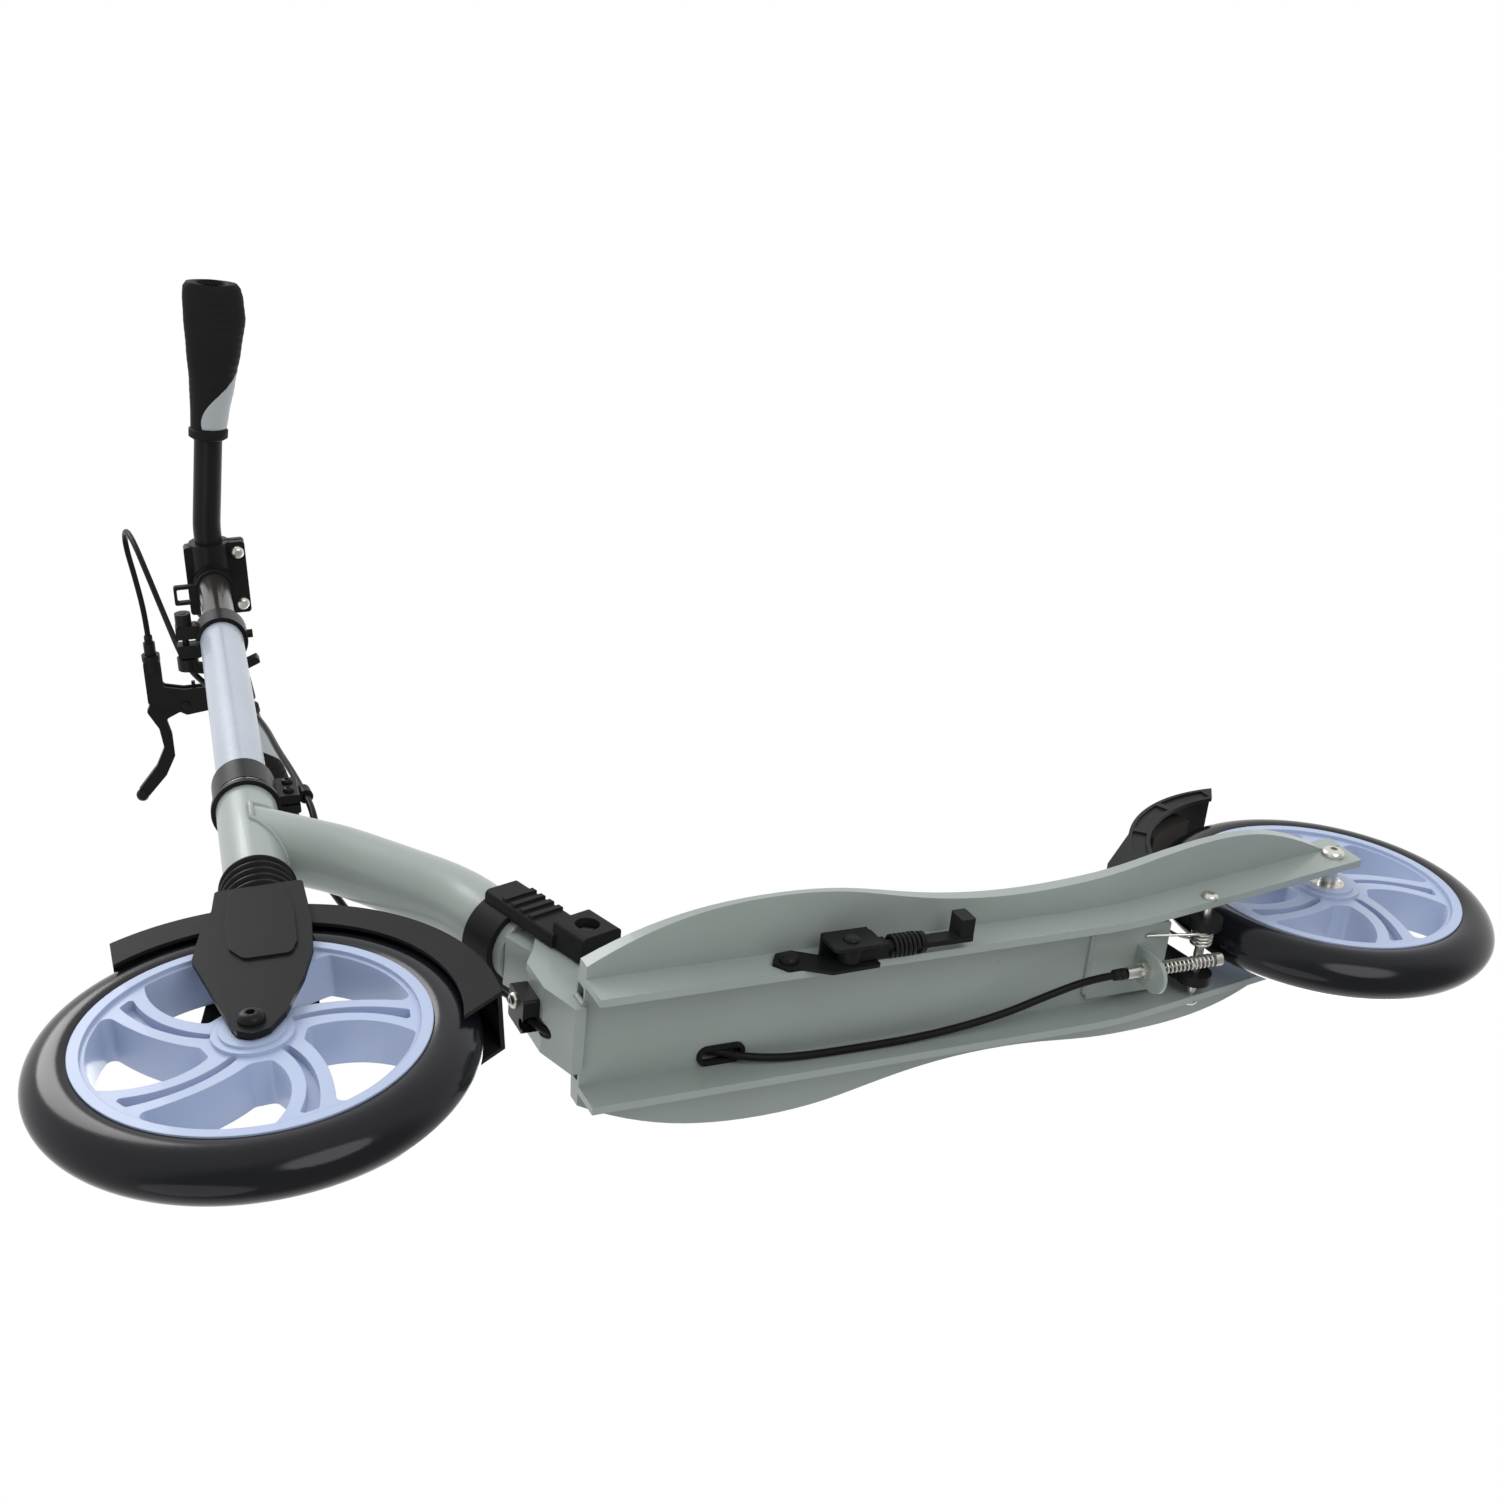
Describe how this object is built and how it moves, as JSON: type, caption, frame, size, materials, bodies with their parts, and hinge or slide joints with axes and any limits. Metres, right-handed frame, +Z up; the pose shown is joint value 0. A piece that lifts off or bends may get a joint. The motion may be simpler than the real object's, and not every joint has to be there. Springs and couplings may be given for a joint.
{
  "type": "kick scooter",
  "caption": "Folding two-wheeled kick scooter with a steering column, hand-lever rear fender brake, front suspension, height-adjustable bars, folding latch and kickstand.",
  "frame": {"origin": "on the ground under the middle of the scooter's length, width and height footprint", "axes": "+X towards the front wheel, +Y to the rider's left, +Z up"},
  "size_m": [0.9028, 0.4812, 0.8796],
  "materials": {
    "frame_paint": "grey-green satin paint on aluminium",
    "grip_tape": "gritty sheet",
    "zinc": "zinc-plated steel",
    "black_alloy": "black anodised",
    "grip_rubber": "ribbed rubber",
    "cable_jacket": "smooth jacket",
    "black_metal": "black satin powder coat",
    "black_plastic": "fine moulded texture",
    "chrome": "polished",
    "stem_paint": "pale lilac satin paint on aluminium",
    "rim_paint": "lilac-blue satin",
    "tyre": "glossy polyurethane",
    "pad": "brake pad"
  },
  "bodies": {
    "deck": {"deck": "frame_paint", "grip_sheet": "grip_tape", "neck_bracket": "frame_paint", "hinge_pin": "zinc", "cable_guide": "black_alloy", "cable_guide_bolt": "zinc", "cable_grommet": "grip_rubber", "cable_deck": "cable_jacket", "rear_axle": "zinc", "fender_hinge_pin": "zinc", "torsion_spring": "zinc", "cable_bridge": "frame_paint", "rear_adjuster": "zinc", "return_spring": "zinc", "stand_bracket": "black_metal", "stand_pins": "zinc"},
    "front_frame": {"downtube": "frame_paint", "hinge_lug": "frame_paint", "head_tube": "frame_paint", "headset_cups": "black_alloy", "cable_neck": "cable_jacket"},
    "latch": {"latch_sleeve": "black_plastic", "latch_screw": "zinc"},
    "steerer": {"steerer_tube": "chrome", "steering_tube": "stem_paint", "lower_collar": "black_alloy", "lower_collar_bolts": "zinc", "cable_clip": "black_plastic", "upper_collar": "black_alloy", "clamp_bolt": "zinc", "cable_stem": "cable_jacket"},
    "quick_release": {"clamp_lever": "black_alloy"},
    "fork": {"fork_crown": "black_metal", "fork_leg_left": "black_metal", "fork_leg_right": "black_metal", "suspension_bellows": "grip_rubber", "suspension_spring": "zinc", "front_mudguard": "black_plastic", "front_axle": "zinc"},
    "front_wheel": {"front_rim": "rim_paint", "front_tyre": "tyre", "front_bearings": "zinc"},
    "mast": {"mast_tube": "black_alloy", "bar_clamp": "black_alloy", "bar_clamp_bolts": "zinc", "handlebar": "black_alloy", "grip_left": "grip_rubber", "grip_right": "grip_rubber", "strap_eye": "black_plastic", "lever_perch": "black_plastic", "lever_screws": "zinc", "cable_loop": "cable_jacket"},
    "brake_lever": {"brake_lever": "black_alloy"},
    "rear_wheel": {"rear_rim": "rim_paint", "rear_tyre": "tyre", "rear_bearings": "zinc"},
    "rear_fender": {"rear_fender": "black_plastic", "brake_pad": "pad"},
    "kickstand": {"stand_leg": "black_metal", "stand_spring": "zinc"}
  },
  "joints": [
    {"name": "fold", "type": "hinge", "parent": "deck", "child": "front_frame", "pos_m": [0.16375, 0, 0.15], "axis": [0, -1, 0], "range_deg": [0, 80], "deforming": ["cable_neck"]},
    {"name": "latch_slide", "type": "slide", "parent": "front_frame", "child": "latch", "axis": [0.3122, 0, 0.95], "range_m": [0, 0.012], "stiffness_N_per_m": 400, "springref_m": -0.005},
    {"name": "steering", "type": "hinge", "parent": "front_frame", "child": "steerer", "pos_m": [0.28921, 0, 0.3404], "axis": [-0.1513, 0, 0.9885], "range_deg": [-49, 61]},
    {"name": "suspension", "type": "slide", "parent": "steerer", "child": "fork", "axis": [-0.1513, 0, 0.9885], "range_m": [0, 0.012], "stiffness_N_per_m": 9000, "springref_m": -0.004, "deforming": ["suspension_bellows", "suspension_spring"]},
    {"name": "front_wheel_spin", "type": "hinge", "parent": "fork", "child": "front_wheel", "pos_m": [0.33668, -0.00135, 0.11499], "axis": [0.1033, 0.9945, 0.0158], "continuous": true},
    {"name": "bar_height", "type": "slide", "parent": "steerer", "child": "mast", "axis": [-0.1513, 0, 0.9885], "range_m": [-0.06, 0.07], "deforming": ["cable_loop"]},
    {"name": "height_clamp", "type": "hinge", "parent": "steerer", "child": "quick_release", "pos_m": [0.25827, -0.02067, 0.70441], "axis": [-0.1033, -0.9945, -0.0158], "range_deg": [0, 100]},
    {"name": "brake_squeeze", "type": "hinge", "parent": "mast", "child": "brake_lever", "pos_m": [0.23554, -0.11096, 0.84003], "axis": [0.1513, 0, -0.9885], "range_deg": [0, 22], "stiffness_Nm_per_rad": 0.6, "springref_deg": -17.19},
    {"name": "rear_wheel_spin", "type": "hinge", "parent": "deck", "child": "rear_wheel", "pos_m": [-0.34425, 0, 0.1075], "axis": [0, 1, 0], "continuous": true},
    {"name": "fender_press", "type": "hinge", "parent": "deck", "child": "rear_fender", "pos_m": [-0.22625, 0, 0.0785], "axis": [0, -1, 0], "range_deg": [0, 3.8], "stiffness_Nm_per_rad": 6, "springref_deg": -8.59},
    {"name": "kickstand_swing", "type": "hinge", "parent": "deck", "child": "kickstand", "pos_m": [0.02775, 0.0425, 0.063], "axis": [0, -1, 0], "range_deg": [0, 130]}
  ],
  "couplings": [
    {"joint": "fender_press", "follows": "brake_squeeze", "ratio": 0.17}
  ]
}
